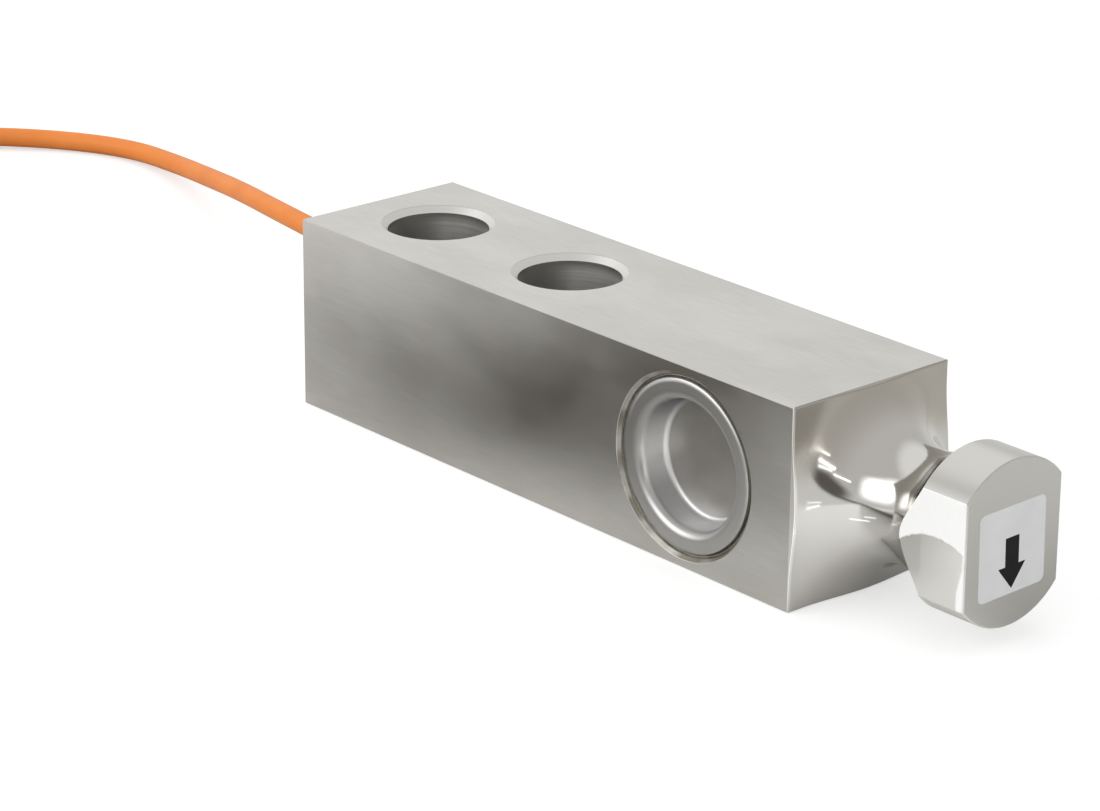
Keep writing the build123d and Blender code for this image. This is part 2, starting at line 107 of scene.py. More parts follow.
jacket_relief_cells = 2600
jacket_specular = 0.3

lead_in_start = Vector(cable_route[-1])
lead_in_way = lead_in_start - Vector(cable_route[-2])
lead_in_way.z = 0.0
lead_in_way.normalize()
outer_turn = coil_mean_radius + (coil_turns_wide - 1) * jacket_radius
coil_touch = lead_in_start + lead_in_way * lead_in_length
coil_centre = coil_touch + Vector((-lead_in_way.y, lead_in_way.x, 0.0)) * outer_turn
touch_angle = math.atan2(coil_touch.y - coil_centre.y, coil_touch.x - coil_centre.x)


def coil_point(angle, radius, height):
    """Point on the coil by the degrees wound since the cable joined it."""
    turn = touch_angle + math.radians(angle)
    return (coil_centre.x + radius * math.cos(turn), coil_centre.y + radius * math.sin(turn), height)


def shifts_of_winding():
    """Where the cable moves to the next turn or climbs to the next layer, in degrees, and by how much.
    Each layer does it earlier in its turn than the one below, so that a climbing turn finds its place
    free. After the last turn the cable climbs onto the coil as its tail."""
    moves = []
    pitch = 2 * jacket_radius
    start = first_shift
    last_climb = tail_height - first_layer_height - (coil_layers - 1) * pitch
    for layer in range(coil_layers):
        first_lap = layer * coil_turns_wide
        last_lap = first_lap + coil_turns_wide - 1
        outward = pitch if layer % 2 else -pitch
        for lap in range(first_lap, last_lap):
            moves.append((lap * 360 + start, outward, 0.0))
        start -= shift_angle
        climb = pitch if layer < coil_layers - 1 else last_climb
        moves.append((last_lap * 360 + start, 0.0, climb))
        start -= shift_angle
    return moves


def winding(angle, moves):
    """Radius and height of the cable's middle after so many degrees of winding."""
    radius = outer_turn
    height = first_layer_height
    for start, outward, upward in moves:
        share = min(max((angle - start) / shift_angle, 0.0), 1.0)
        eased = share * share * (3 - 2 * share)
        radius += outward * eased
        height += upward * eased
    return radius, height


cable_points = list(cable_route)
winding_moves = shifts_of_winding()
step_angle = 360.0 / steps_per_turn
spline_shrink = math.cos(math.radians(step_angle / 2))
last_step = int((winding_moves[-1][0] + shift_angle) / step_angle)
for step in range(last_step + 1):
    turn_radius, turn_height = winding(step * step_angle, winding_moves)
    cable_points.append(coil_point(step * step_angle, turn_radius / spline_shrink, turn_height))
for angle, outward, lift in tail_places:
    cable_points.append(coil_point(angle, coil_mean_radius + outward, tail_height + lift))

cable_curve = bpy.data.curves.new("cable_run", "CURVE")
cable_curve.dimensions = "3D"
cable_curve.bevel_depth = jacket_radius
cable_curve.bevel_resolution = curve_resolution
cable_curve.resolution_u = curve_resolution
cable_curve.use_fill_caps = True
cable_spline = cable_curve.splines.new("NURBS")
cable_spline.points.add(len(cable_points) - 1)
for control, place in zip(cable_spline.points, cable_points):
    control.co = (*place, 1.0)
cable_spline.order_u = 3
cable_spline.use_endpoint_u = True
cable_run = bpy.data.objects.new("cable_run", cable_curve)
bpy.context.scene.collection.objects.link(cable_run)


def feed(tree, node, inputs):
    """Give a node's inputs a number, a colour of three numbers or another node's output."""
    for name, value in inputs.items():
        socket = node.inputs[name]
        if isinstance(value, bpy.types.NodeSocket):
            tree.links.new(value, socket)
        elif socket.type == "RGBA":
            socket.default_value = (*value, 1.0)
        else:
            socket.default_value = value


def wire(tree, kind, inputs=None, **options):
    """Add a shader node, set its options and feed its inputs."""
    made = tree.nodes.new(kind)
    for option, value in options.items():
        setattr(made, option, value)
    feed(tree, made, inputs or {})
    return made


def start_finish(name, metallic=0.0):
    """A new material: its tree, its surface shader and the place on the piece that patterns read."""
    finish = bpy.data.materials.new(name)
    finish.use_nodes = True
    tree = finish.node_tree
    surface = tree.nodes["Principled BSDF"]
    feed(tree, surface, {"Metallic": metallic})
    place = wire(tree, "ShaderNodeTexCoord").outputs["Object"]
    return finish, tree, surface, place


def grain(tree, place, cells, detail=2.0, turned=None):
    """Noise between 0 and 1, with so many cells per metre: one number, or one each for along the bar,
    across it and up. The place may be turned first."""
    if turned:
        place = wire(tree, "ShaderNodeMapping", {"Vector": place, "Rotation": turned}).outputs[0]
    scale = cells if isinstance(cells, tuple) else (cells, cells, cells)
    laid = wire(tree, "ShaderNodeMapping", {"Vector": place, "Scale": scale})
    noise = wire(tree, "ShaderNodeTexNoise", {"Vector": laid.outputs[0], "Scale": 1.0, "Detail": detail})
    return noise.outputs["Fac"]


def between(tree, value, low, high, smooth=False):
    """The value's way from low to high, as 0 to 1."""
    kind = "SMOOTHSTEP" if smooth else "LINEAR"
    span = {"Value": value, "From Min": low, "From Max": high}
    return wire(tree, "ShaderNodeMapRange", span, interpolation_type=kind).outputs[0]


def mix_values(tree, share, first, second):
    """A value between two values."""
    return wire(tree, "ShaderNodeMix", {"Factor": share, 2: first, 3: second}, data_type="FLOAT").outputs[0]


def tint(tree, share, first, second):
    """A colour between two colours."""
    return wire(tree, "ShaderNodeMix", {"Factor": share, 6: first, 7: second}, data_type="RGBA").outputs[2]


def mottle(tree, place, cells, shades, detail=2.0, span=(0.3, 0.7)):
    """A colour that wanders between two shades."""
    return tint(tree, between(tree, grain(tree, place, cells, detail), *span), *shades)


def roughen(tree, surface, height, depth):
    """Give the surface a fine relief. The depth is in metres."""
    relief = wire(tree, "ShaderNodeBump", {"Height": height, "Distance": depth, "Strength": 1.0})
    feed(tree, surface, {"Normal": relief.outputs[0]})


def coat(pieces, finish):
    """Put one finish on each named CAD node or object."""
    for piece in pieces:
        skin = nodes[piece] if isinstance(piece, str) else piece
        skin.data.materials.clear()
        skin.data.materials.append(finish)


jacket_orange, tree, surface, place = start_finish("jacket_orange")
jacket_look = {
    "Base Color": mottle(tree, place, jacket_shade_cells, jacket_shades),
    "Roughness": mix_values(tree, grain(tree, place, jacket_roughness_cells), *jacket_roughness),
    "Specular IOR Level": jacket_specular,
}
feed(tree, surface, jacket_look)
roughen(tree, surface, grain(tree, place, jacket_relief_cells), jacket_relief)
coat([cable_run], jacket_orange)
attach(cable_run, "root")
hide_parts("cable", "cable_coil", "cable_tail")


# Load beam. One bar of stainless steel, ground flat on its four sides and bored for two bolts. It is turned
# and polished in the groove, milled on the head, and dressed by hand with a coarse disc on the near flat,
# where the dressed patch is painted near white as a painted reflection.
bar_half_width = 0.025
bar_front = 0.1297
bar_rear = -0.0496
front_rim_width = 0.0005
near_rim_edge = -0.02455
head_start = 0.1609
head_end = 0.1744
flat_start = 0.1540
flat_depth = 0.0154
bolt_pitch = 0.0508
chamfer_foot = 0.0484
pocket_bevel_foot = 0.0240
skin_depth = 0.0001

# Where one finish or painted shade passes into the next: along the bar, up from its foot, or from a bore's
# middle.
mirror_polish_fade = (0.1328, 0.1302)
pale_groove_fade = (0.1305, 0.1385)
low_groove_fade = (0.0390, 0.0300)
bore_side_fade = (-0.0135, -0.0085)
bore_mouth_fade = (chamfer_foot, 0.0455)

# The dressed patch, with its disc marks and painted near white as a painted reflection, lies above an arched
# line and in a strip along the head's front edge.
arch_middle = 0.1655
arch_top = 0.0275
arch_curve = 30.0
arch_fade = (-0.0001, 0.0003)
ragged_depth = 0.0016
strip_start = 0.1735
strip_widening = 0.0014
strip_widening_fade = (0.0225, 0.0165)
strip_fade = (-0.0002, 0.0003)
strip_foot = (0.0118, 0.0126)

# Cells per metre along the bar, across it and up, the detail, and how the pattern is turned.
beam_patterns = {
    "clouds": ((26, 48, 48), 4.0, None),
    "streaks": ((150, 1500, 1500), 3.0, None),
    "ground_lines": ((70, 5200, 5200), 3.0, None),
    "cross_lines": ((2600, 2600, 90), 2.0, None),
    "turning_lines": ((6000, 8, 8), 2.0, None),
    "milled_lines": ((300, 300, 3600), 3.0, (0.0, 0.6, 0.0)),
    "bored_rings": ((60, 60, 1400), 2.0, None),
    "disc_lines": ((90, 90, 2600), 2.0, (0.0, math.radians(-55), 0.0)),
}
cloud_span = (0.42, 0.60)
streak_span = (0.3, 0.7)
ring_span = (0.35, 0.65)
disc_span = (0.20, 0.45)
heat_span = (0.45, 0.60)
heat_cells = 110
cross_line_share = 0.35
streak_share = 0.4

ground_shades = ((0.635, 0.626, 0.602), (0.735, 0.727, 0.704))
groove_shaded_and_plain = ((0.50, 0.475, 0.435), (0.69, 0.682, 0.660))
painted_shade_rim = (0.36, 0.345, 0.315)
painted_highlight_rim = (0.97, 0.965, 0.95)
bored_shades = ((0.80, 0.79, 0.775), (0.96, 0.95, 0.94))
painted_bore_shade = (0.34, 0.33, 0.315)
chamfer_shade = (0.84, 0.835, 0.82)
heat_shades = ((0.24, 0.225, 0.185), (0.52, 0.51, 0.48))
painted_glare_shades = ((0.96, 0.958, 0.95), (1.0, 1.0, 0.995))

ground_roughness = (0.22, 0.27)
groove_roughness = (0.09, 0.24)
milled_roughness = 0.24
end_roughness = 0.46
bored_roughness = 0.38
dressed_roughness = 0.55
bored_metallic = 0.94
painted_glare_metallic = 0.25
groove_relief_share = 0.25
steel_relief = 0.000012


def reckon(tree, operation, *values):
    """One step of arithmetic on node outputs or numbers."""
    return wire(tree, "ShaderNodeMath", dict(enumerate(values)), operation=operation).outputs[0]


def squared(tree, value):
    """The value times itself."""
    return reckon(tree, "MULTIPLY", value, value)


def beyond(tree, value, limit):
    """1 where the value is past the limit, else 0."""
    return reckon(tree, "GREATER_THAN", value, limit)


def short_of(tree, value, limit):
    """1 where the value hasn't reached the limit, else 0."""
    return reckon(tree, "LESS_THAN", value, limit)


def overlap(tree, *zones):
    """Where all of the zones lie over each other."""
    shared = zones[0]
    for zone in zones[1:]:
        shared = reckon(tree, "MULTIPLY", shared, zone)
    return shared


def lay_over(tree, mix, base, layers):
    """Mix values or colours over the base one by one, each by the share of its own zone."""
    for zone, value in layers:
        base = mix(tree, zone, base, value)
    return base


def split(tree, place):
    """The three parts of a place or a direction: along X, along Y and along Z."""
    return wire(tree, "ShaderNodeSeparateXYZ", {"Vector": place}).outputs


beam_steel, tree, surface, place = start_finish("beam_steel", metallic=1.0)
along, across, height = split(tree, place)
aside = reckon(tree, "ABSOLUTE", across)
above_middle = reckon(tree, "SUBTRACT", height, bar_half_width)
outmost = reckon(tree, "MAXIMUM", aside, reckon(tree, "ABSOLUTE", above_middle))
sunk = short_of(tree, outmost, bar_half_width - skin_depth)
in_front = beyond(tree, along, bar_front - front_rim_width)
on_groove = overlap(tree, sunk, in_front)
off_rear_face = beyond(tree, along, bar_rear + skin_depth)
on_inside = overlap(tree, reckon(tree, "SUBTRACT", sunk, on_groove), off_rear_face)
on_head = beyond(tree, along, head_start)
on_end = beyond(tree, along, head_end - skin_depth)
on_pocket_bevel = overlap(tree, on_inside, beyond(tree, aside, pocket_bevel_foot))
off_groove = reckon(tree, "SUBTRACT", 1.0, on_groove)
on_front_rim = overlap(tree, in_front, off_groove, short_of(tree, along, flat_start))
on_near_rim = short_of(tree, across, near_rim_edge)
on_chamfer = beyond(tree, height, chamfer_foot)
patterns = {name: grain(tree, place, *laid) for name, laid in beam_patterns.items()}

from_near_flat = reckon(tree, "ABSOLUTE", reckon(tree, "ADD", across, flat_depth))
on_near_flat = overlap(tree, short_of(tree, from_near_flat, skin_depth), beyond(tree, along, flat_start))
from_crown = squared(tree, reckon(tree, "SUBTRACT", along, arch_middle))
arch = reckon(tree, "MULTIPLY_ADD", from_crown, -arch_curve, arch_top)
ragged = reckon(tree, "MULTIPLY_ADD", patterns["disc_lines"], ragged_depth, -ragged_depth / 2)
above_arch = reckon(tree, "SUBTRACT", reckon(tree, "ADD", height, ragged), arch)
in_arch = between(tree, above_arch, *arch_fade)
low_down = between(tree, height, *strip_widening_fade)
strip_edge = reckon(tree, "MULTIPLY_ADD", low_down, -strip_widening, strip_start)
in_strip = between(tree, reckon(tree, "SUBTRACT", along, strip_edge), *strip_fade)
in_strip = overlap(tree, in_strip, between(tree, height, *strip_foot))
dressed_with_painted_glare = overlap(tree, reckon(tree, "MAXIMUM", in_arch, in_strip), on_near_flat)

clouds = between(tree, patterns["clouds"], *cloud_span)
streaks = between(tree, patterns["streaks"], *streak_span)
ground = tint(tree, mix_values(tree, streak_share, clouds, streaks), *ground_shades)
# Painted shade: the groove is darker next to the bar and high up, and paler low down and away from the bar.
away_from_bar = between(tree, along, *pale_groove_fade, smooth=True)
low_in_groove = between(tree, height, *low_groove_fade, smooth=True)
polished_with_painted_shade = tint(tree, reckon(tree, "MAXIMUM", away_from_bar, low_in_groove), *groove_shaded_and_plain)
# Painted shade and highlight on the front rim: darker high up, and a near white line on the near vertical
# edge.
rim_with_painted_light = tint(tree, low_in_groove, painted_shade_rim, groove_shaded_and_plain[1])
rim_with_painted_light = tint(tree, on_near_rim, rim_with_painted_light, painted_highlight_rim)
across_bore = reckon(tree, "WRAP", along, bolt_pitch, 0.0)
across_bore = reckon(tree, "SUBTRACT", across_bore, bolt_pitch / 2)
# Painted shade in each bore: darker near its mouth and on the side towards the rear of the bar.
past_bore_side = between(tree, across_bore, *bore_side_fade, smooth=True)
deep_in_bore = between(tree, height, *bore_mouth_fade, smooth=True)
bored_with_painted_shade = tint(tree, between(tree, patterns["bored_rings"], *ring_span), *bored_shades)
bored_with_painted_shade = tint(tree, overlap(tree, past_bore_side, deep_in_bore), painted_bore_shade, bored_with_painted_shade)
bored_with_painted_shade = tint(tree, on_chamfer, bored_with_painted_shade, chamfer_shade)
heated = mottle(tree, place, heat_cells, heat_shades, span=heat_span)
# Painted reflection: the dressed patch is near white and less metallic, so it shows white, and the disc marks
# run through it.
disc_marks_with_painted_glare = tint(tree, between(tree, patterns["disc_lines"], *disc_span), *painted_glare_shades)
colour_layers = (
    (on_groove, polished_with_painted_shade),
    (on_front_rim, rim_with_painted_light),
    (on_inside, bored_with_painted_shade),
    (on_pocket_bevel, heated),
    (dressed_with_painted_glare, disc_marks_with_painted_glare),
)

turned_rough = between(tree, along, *mirror_polish_fade, smooth=True)
roughness_layers = (
    (on_groove, mix_values(tree, turned_rough, *groove_roughness)),
    (on_head, milled_roughness),
    (on_end, end_roughness),
    (on_inside, bored_roughness),
    (dressed_with_painted_glare, dressed_roughness),
)
metallic_layers = ((on_inside, bored_metallic), (dressed_with_painted_glare, painted_glare_metallic))
line_layers = (
    (on_groove, patterns["turning_lines"]),
    (on_head, patterns["milled_lines"]),
    (on_inside, patterns["bored_rings"]),
    (dressed_with_painted_glare, patterns["disc_lines"]),
)
beam_look = {
    "Base Color": lay_over(tree, tint, ground, colour_layers),
    "Roughness": lay_over(tree, mix_values, mix_values(tree, clouds, *ground_roughness), roughness_layers),
    "Metallic": lay_over(tree, mix_values, 1.0, metallic_layers),
}
feed(tree, surface, beam_look)
lines = mix_values(tree, cross_line_share, patterns["ground_lines"], patterns["cross_lines"])
lines = lay_over(tree, mix_values, lines, line_layers)
line_strength = mix_values(tree, on_groove, 1.0, groove_relief_share)
roughen(tree, surface, reckon(tree, "MULTIPLY", lines, line_strength), steel_relief)
coat(["load_beam"], beam_steel)


# Cups. Drawn from thin stainless sheet, with a turned flange and a rounded mouth, and blasted to an even
# satin grey, with painted shade and light on the inner wall. They close the gauge pockets, and the near one
# shows its open hollow.
cup_place = Vector((0.0936, 0.0, 0.025))
floor_radius = 0.0138
mouth_radius = 0.0161
lip_rounding = 0.0026
rim_start = 0.0201
wall_fade = (floor_radius + 0.0001, floor_radius + 0.0009)
lip_fade = (mouth_radius - 0.0004, mouth_radius + 0.0004)
flange_fade = (mouth_radius + 0.5 * lip_rounding, mouth_radius + lip_rounding)
bright_wall_fade = (0.0145, 0.0015)
grey_wall_fade = (-0.0010, -0.0105)
cup_floor_shades = ((0.41, 0.398, 0.378), (0.47, 0.458, 0.438))
cup_floor_cells = 120
wall_painted_shades = ((0.22, 0.22, 0.225), (1.0, 1.0, 1.0))
wall_painted_grey = (0.62, 0.62, 0.63)
lip_shade = (0.50, 0.50, 0.495)
flange_shade = (0.55, 0.55, 0.54)
floor_roughness = 0.36
flange_roughness = 0.34
wall_metallic = 0.76
blast_cells = 3800
ring_line_cells = 5200.0
rim_fall = -2.0e7


def cup_round(tree, place):
    """How far a place lies from the cups' axis, and how far above it."""
    from_axis = wire(tree, "ShaderNodeVectorMath", {0: place, 1: cup_place}, operation="SUBTRACT")
    apart = split(tree, from_axis.outputs[0])
    ring = reckon(tree, "ADD", squared(tree, apart["X"]), squared(tree, apart["Z"]))
    return reckon(tree, "SQRT", ring), apart["Z"]


cup_satin, tree, surface, place = start_finish("cup_satin", metallic=1.0)
ring, rise = cup_round(tree, place)
on_wall = between(tree, ring, *wall_fade, smooth=True)
on_lip = between(tree, ring, *lip_fade, smooth=True)
on_flange = between(tree, ring, *flange_fade, smooth=True)
# Painted shade and light on the inner wall: dark at the top, near white in the middle and grey at the bottom.
painted_wall_shading = tint(tree, between(tree, rise, *bright_wall_fade, smooth=True), *wall_painted_shades)
painted_wall_shading = tint(tree, between(tree, rise, *grey_wall_fade, smooth=True), painted_wall_shading, wall_painted_grey)
cup_floor = mottle(tree, place, cup_floor_cells, cup_floor_shades)
only_wall = overlap(tree, on_wall, reckon(tree, "SUBTRACT", 1.0, on_lip))
cup_look = {
    "Base Color": lay_over(
        tree, tint, cup_floor, ((on_wall, painted_wall_shading), (on_lip, lip_shade), (on_flange, flange_shade))
    ),
    "Roughness": mix_values(tree, on_lip, floor_roughness, flange_roughness),
    "Metallic": mix_values(tree, only_wall, 1.0, wall_metallic),
}
feed(tree, surface, cup_look)
blasted = grain(tree, place, blast_cells)
ring_place = reckon(tree, "MULTIPLY", ring, ring_line_cells)
ring_noise = {"W": ring_place, "Scale": 1.0, "Detail": 2.0}
ring_lines = wire(tree, "ShaderNodeTexNoise", ring_noise, noise_dimensions="1D").outputs["Fac"]
past_rim = reckon(tree, "MAXIMUM", reckon(tree, "SUBTRACT", ring, rim_start), 0.0)
rounded_rim = reckon(tree, "MULTIPLY", squared(tree, past_rim), rim_fall)
turned_flange = reckon(tree, "ADD", ring_lines, rounded_rim)
roughen(tree, surface, mix_values(tree, on_flange, blasted, turned_flange), steel_relief)
coat(["near_cup", "far_cup"], cup_satin)


# Weld seams. A narrow bead of molten steel joins each cup's flange to the bar, sunk below both, and is left
# with the brown tint that the heat gives stainless steel.
bead_radius = 0.02185
bead_fall = -1.4e7
bead_relief = 0.00008
bead_roughness = 0.45
bead_shades = ((0.50, 0.47, 0.41), (0.30, 0.275, 0.24))
bead_shade_cells = 160
bead_shade_span = (0.35, 0.65)
ripple_cells = 1400

weld_steel, tree, surface, place = start_finish("weld_steel", metallic=1.0)
bead_colour = mottle(tree, place, bead_shade_cells, bead_shades, detail=3.0, span=bead_shade_span)
feed(tree, surface, {"Base Color": bead_colour, "Roughness": bead_roughness})
from_crest = reckon(tree, "SUBTRACT", cup_round(tree, place)[0], bead_radius)
crowned = reckon(tree, "MULTIPLY", squared(tree, from_crest), bead_fall)
ripple = grain(tree, place, ripple_cells, detail=1.0)
roughen(tree, surface, reckon(tree, "ADD", ripple, crowned), bead_relief)
coat(["near_weld_seam", "far_weld_seam"], weld_steel)


# Strain gauges and bridge board. Foil gauges on amber film, glued to both faces of the web, a small green
# circuit board with solder pads and trim resistors, and fine enamelled leads between them.
film_shades = ((0.62, 0.34, 0.07), (0.70, 0.42, 0.10))
board_shades = ((0.02, 0.13, 0.05), (0.03, 0.17, 0.07))
glue_shades = ((0.66, 0.66, 0.60), (0.74, 0.74, 0.69))
chip_shades = ((0.012, 0.012, 0.012), (0.022, 0.022, 0.022))
copper_shades = ((0.42, 0.13, 0.05), (0.52, 0.17, 0.07))
small_relief = 0.00001


def small_finish(name, shades, roughness, metallic=0.0, cells=900):
    """Finish of a small piece: mottled between two near shades, with a relief four times as fine."""
    finish, tree, surface, place = start_finish(name, metallic)
    feed(tree, surface, {"Base Color": mottle(tree, place, cells, shades), "Roughness": roughness})
    roughen(tree, surface, grain(tree, place, 4 * cells), small_relief)
    return finish


coat(["near_shear_gauge", "far_shear_gauge"], small_finish("gauge_amber", film_shades, roughness=0.35))
coat(["bridge_board", "near_terminals"], small_finish("board_green", board_shades, roughness=0.4))
coat(["board_pad"], small_finish("board_glue", glue_shades, roughness=0.6))
coat(["trim_resistors"], small_finish("chip_black", chip_shades, roughness=0.45))
enamel_copper = small_finish("enamel_copper", copper_shades, roughness=0.3, metallic=1.0)
coat(["far_gauge_wires", "near_gauge_wires", "near_jumper_wires"], enamel_copper)


# Cores and leads. Four coloured conductors and a tinned drain wire run from the board to the cable, and come
# out again at its stripped end, where each is cut bare and tinned at the tip.
insulation_shades = {
    "red": ((0.45, 0.018, 0.012), (0.55, 0.025, 0.018)),
    "green": ((0.012, 0.20, 0.045), (0.018, 0.26, 0.06)),
    "black": ((0.010, 0.010, 0.010), (0.018, 0.018, 0.018)),
    "white": ((0.72, 0.72, 0.69), (0.80, 0.80, 0.78)),
}
tin_shades = ((0.60, 0.60, 0.58), (0.70, 0.70, 0.68))

for colour, shades in insulation_shades.items():
    insulation = small_finish(f"insulation_{colour}", shades, roughness=0.42, cells=500)
    coat([f"core_{colour}", f"lead_{colour}"], insulation)
tinned_strands = small_finish("tinned_strands", tin_shades, roughness=0.3, metallic=1.0)
coat(["core_drain", "lead_drain"], tinned_strands)


# Cable gland. A nickel plated brass body and cap nut with a black rubber seal and washer, screwed into the
# rear face beside the bolt bores.
nickel_shades = ((0.60, 0.57, 0.51), (0.68, 0.65, 0.59))
rubber_shades = ((0.014, 0.014, 0.014), (0.024, 0.024, 0.024))

nickel_plate = small_finish("nickel_plate", nickel_shades, roughness=0.22, metallic=1.0, cells=300)
coat(["gland_body", "gland_nut"], nickel_plate)
coat(["gland_washer", "gland_seal"], small_finish("seal_rubber", rubber_shades, roughness=0.6))


# Coil ties and end sleeve. Two black nylon ties hold the turns together, and a black shrink sleeve closes the
# jacket where the cores come out.
nylon_shades = ((0.016, 0.016, 0.016), (0.028, 0.028, 0.028))
sleeve_shades = ((0.014, 0.014, 0.014), (0.022, 0.022, 0.022))

coat(["coil_tie_1", "coil_tie_2"], small_finish("tie_nylon", nylon_shades, roughness=0.38, cells=300))
coat(["end_sleeve"], small_finish("sleeve_black", sleeve_shades, roughness=0.5, cells=300))

on_the_cable = ["coil_tie_1", "coil_tie_2", "end_sleeve"]
on_the_cable += ["lead_red", "lead_green", "lead_drain", "lead_black", "lead_white"]


# Load label. A grey printed sticker on the head's end face, stuck on a little off square, with an arrow that
# points the way the load acts. It carries no lettering.
label_face = 0.17455
label_middle = (-0.0003, 0.0236)
label_tilt = math.radians(1.4)
label_shades = ((0.77, 0.775, 0.775), (0.82, 0.825, 0.825))
label_shade_cells = 120
label_roughness = 0.38
label_relief = 0.000008
label_relief_cells = 2500
ink_shades = ((0.007, 0.007, 0.008), (0.010, 0.010, 0.011))
ink_specular = 0.2
ink_thickness = 0.00002
arrow_top = 0.0031
arrow_shoulder = -0.0038
arrow_tip = -0.0094
arrow_shaft_half = 0.0022
arrow_head_half = 0.0044
near_enough = 1e-6

label_print, tree, surface, place = start_finish("label_grey")
label_colour = mottle(tree, place, label_shade_cells, label_shades)
feed(tree, surface, {"Base Color": label_colour, "Roughness": label_roughness})
roughen(tree, surface, grain(tree, place, label_relief_cells), label_relief)
coat(["load_label"], label_print)

label_ink = small_finish("label_ink", ink_shades, roughness=0.5)
tree = label_ink.node_tree
feed(tree, tree.nodes["Principled BSDF"], {"Specular IOR Level": ink_specular})


def stand_on_label(piece):
    """Turn a flat mesh, drawn in X and Y, to face along the bar and set it on the sticker."""
    facing = Matrix(((0, 0, 1, 0), (1, 0, 0, 0), (0, 1, 0, 0), (0, 0, 0, 1)))
    tilted = Matrix.Rotation(label_tilt, 4, "Z")
    place = Matrix.Translation((label_face, *label_middle))
    piece.data.transform(place @ facing @ tilted)
    coat([piece], label_ink)
    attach(piece, "root")


bpy.ops.object.select_all(action="DESELECT")
bpy.ops.mesh.primitive_plane_add(size=1, location=(0, 0, 0))
load_arrow = bpy.context.object
load_arrow.name = "load_arrow"
for vertex in load_arrow.data.vertices:
    vertex.co.x = math.copysign(arrow_shaft_half, vertex.co.x)
    vertex.co.y = arrow_top if vertex.co.y > 0 else arrow_shoulder
bpy.ops.object.mode_set(mode="EDIT")
bpy.ops.mesh.select_all(action="DESELECT")
bpy.ops.object.mode_set(mode="OBJECT")
for vertex in load_arrow.data.vertices:
    vertex.select = abs(vertex.co.y - arrow_shoulder) < near_enough
for edge in load_arrow.data.edges:
    edge.select = all(load_arrow.data.vertices[corner].select for corner in edge.vertices)
bpy.ops.object.mode_set(mode="EDIT")
bpy.ops.mesh.extrude_region_move()
bpy.ops.transform.resize(value=(arrow_head_half / arrow_shaft_half, 1, 1))
bpy.ops.mesh.extrude_region_move(TRANSFORM_OT_translate={"value": (0, arrow_tip - arrow_shoulder, 0)})
bpy.ops.mesh.merge(type="CENTER")
bpy.ops.object.mode_set(mode="OBJECT")
thicken = load_arrow.modifiers.new("ink", "SOLIDIFY")
thicken.thickness = ink_thickness
thicken.offset = 1.0
bpy.ops.object.modifier_apply(modifier=thicken.name)
stand_on_label(load_arrow)


# Studio. A white paper floor that keeps the shadow, in a pale room with a dark side behind the camera. A wide
# soft box stands at the near left, four thin tubes hang at the near right and four short strips lie on the
# floor beside the groove, and the steel mirrors them as its bright patches and streaks.
floor_width = 6
floor_drop = 0.00005
floor_paper = (0.52, 0.52, 0.52)
floor_glow = 0.56
plain_white = (1, 1, 1)
mirrored_paper = (0.70, 0.692, 0.664)

# Zones of the floor as the steel mirrors it, painted light and shade that only reflections see: a painted
# pool of light beside the groove, a painted shadow before the end face, and painted dark patches at the near
# side
# and far in front. For each: where it sets in along X and Y, and its colour.
floor_zones = {
    "painted_light_beside_groove": (
        (("X", 0.130, 0.139), ("X", 0.215, 0.200), ("Y", 0.004, -0.010)),
        (0.96, 0.95, 0.93),
    ),
    "painted_shadow_before_end": (
        (("X", 0.172, 0.182), ("X", 0.240, 0.205), ("Y", -0.005, 0.012), ("Y", 0.080, 0.045)),
        (0.40, 0.395, 0.38),
    ),
    "painted_dark_near_side": (
        (("Y", -0.018, -0.060), ("X", -0.165, -0.008), ("X", 0.145, 0.003)),
        (0.068, 0.061, 0.049),
    ),
    "painted_dark_far_front": (
        (("Y", -0.30, -0.75), ("X", -0.20, 0.20)),
        (0.10, 0.090, 0.082),
    ),
}


def mix_shaders(tree, share, first, second):
    """A shader that passes from the first to the second."""
    return wire(tree, "ShaderNodeMixShader", {0: share, 1: first, 2: second}).outputs[0]


bpy.ops.object.select_all(action="DESELECT")
bpy.ops.mesh.primitive_plane_add(size=floor_width, location=(0, 0, 0))
floor = bpy.context.object
floor.name = "studio_floor"
floor.data.transform(Matrix.Translation((0, 0, -floor_drop)))
floor_white = bpy.data.materials.new("floor_white")
floor_white.use_nodes = True
tree = floor_white.node_tree
tree.nodes.clear()
floor_axes = split(tree, wire(tree, "ShaderNodeTexCoord").outputs["Object"])
reflected = mirrored_paper
for limits, zone_colour in floor_zones.values():
    edges = [between(tree, floor_axes[axis], start, full) for axis, start, full in limits]
    reflected = tint(tree, overlap(tree, *edges), reflected, zone_colour)
paper = wire(tree, "ShaderNodeBsdfDiffuse", {"Color": floor_paper}).outputs[0]
reflected_paper = wire(tree, "ShaderNodeBsdfDiffuse", {"Color": reflected}).outputs[0]
glow = wire(tree, "ShaderNodeEmission", {"Color": plain_white, "Strength": floor_glow}).outputs[0]
white_paper = wire(tree, "ShaderNodeAddShader", {0: paper, 1: glow}).outputs[0]
ray = wire(tree, "ShaderNodeLightPath").outputs
unseen_paper = mix_shaders(tree, ray["Is Glossy Ray"], paper, reflected_paper)
floor_look = mix_shaders(tree, ray["Is Camera Ray"], unseen_paper, white_paper)
wire(tree, "ShaderNodeOutputMaterial", {"Surface": floor_look})
coat([floor], floor_white)


def heading(azimuth, elevation):
    """Unit vector from two angles in degrees: from +X towards +Y, and up from the floor."""
    turn = math.radians(azimuth)
    lift = math.radians(elevation)
    return Vector((math.cos(lift) * math.cos(turn), math.cos(lift) * math.sin(turn), math.sin(lift)))


def vector_step(tree, operation, *values):
    """One step of arithmetic on directions."""
    return wire(tree, "ShaderNodeVectorMath", dict(enumerate(values)), operation=operation).outputs


